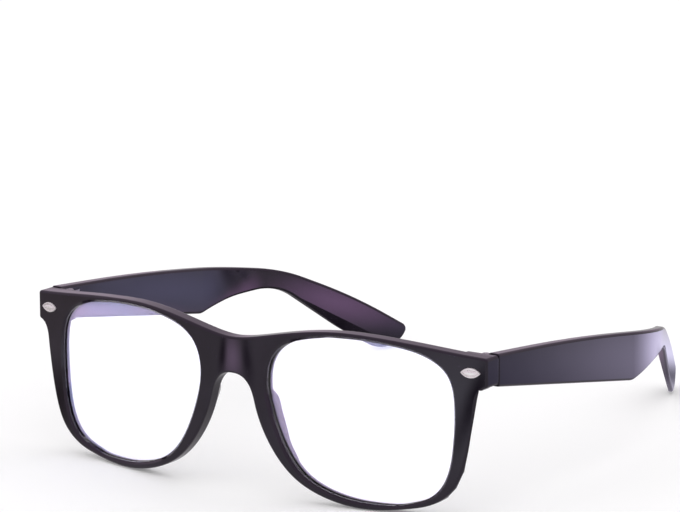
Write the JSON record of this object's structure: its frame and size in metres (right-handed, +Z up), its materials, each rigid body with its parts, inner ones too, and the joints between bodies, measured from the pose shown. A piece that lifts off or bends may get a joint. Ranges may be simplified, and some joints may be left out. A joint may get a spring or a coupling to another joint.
{
  "type": "diffraction glasses",
  "caption": "Novelty glasses with a black plastic front, clear lenses backed by diffraction film, and folding temples on screwed metal hinges.",
  "frame": {"origin": "centre of the foot of the bounding box, on the surface that the folded-open glasses rest on", "axes": "+X to the wearer's left, +Y back along the temples, +Z up; the glasses stand on their rims and on the ears of both temples"},
  "size_m": [0.1444, 0.1403, 0.0457],
  "materials": {
    "black_plastic": "polished moulded black plastic",
    "clear_lens": "clear polished plastic plate",
    "diffraction_film": "clear film with a faint periwinkle haze",
    "silver_badge": "polished plated metal",
    "hinge_metal": "tumbled nickel-plated metal",
    "screw_steel": "turned steel"
  },
  "bodies": {
    "front_body": {"front_frame": "black_plastic", "left_lens": "clear_lens", "left_diffraction_film": "diffraction_film", "left_badge": "silver_badge", "left_front_hinge_leaf": "hinge_metal", "left_hinge_screw": "screw_steel", "left_front_leaf_screws": "screw_steel", "right_lens": "clear_lens", "right_diffraction_film": "diffraction_film", "right_badge": "silver_badge", "right_front_hinge_leaf": "hinge_metal", "right_hinge_screw": "screw_steel", "right_front_leaf_screws": "screw_steel"},
    "left_arm": {"left_temple": "black_plastic", "left_temple_hinge_leaf": "hinge_metal", "left_temple_leaf_screws": "screw_steel"},
    "right_arm": {"right_temple": "black_plastic", "right_temple_hinge_leaf": "hinge_metal", "right_temple_leaf_screws": "screw_steel"}
  },
  "joints": [
    {"name": "left_temple_fold", "type": "hinge", "parent": "front_body", "child": "left_arm", "pos_m": [0.0672, -0.05188, 0.03817], "axis": [0, 0.0474, 0.9989], "range_deg": [0, 76]},
    {"name": "right_temple_fold", "type": "hinge", "parent": "front_body", "child": "right_arm", "pos_m": [-0.0672, -0.05188, 0.03817], "axis": [0, -0.0474, -0.9989], "range_deg": [0, 81]}
  ]
}
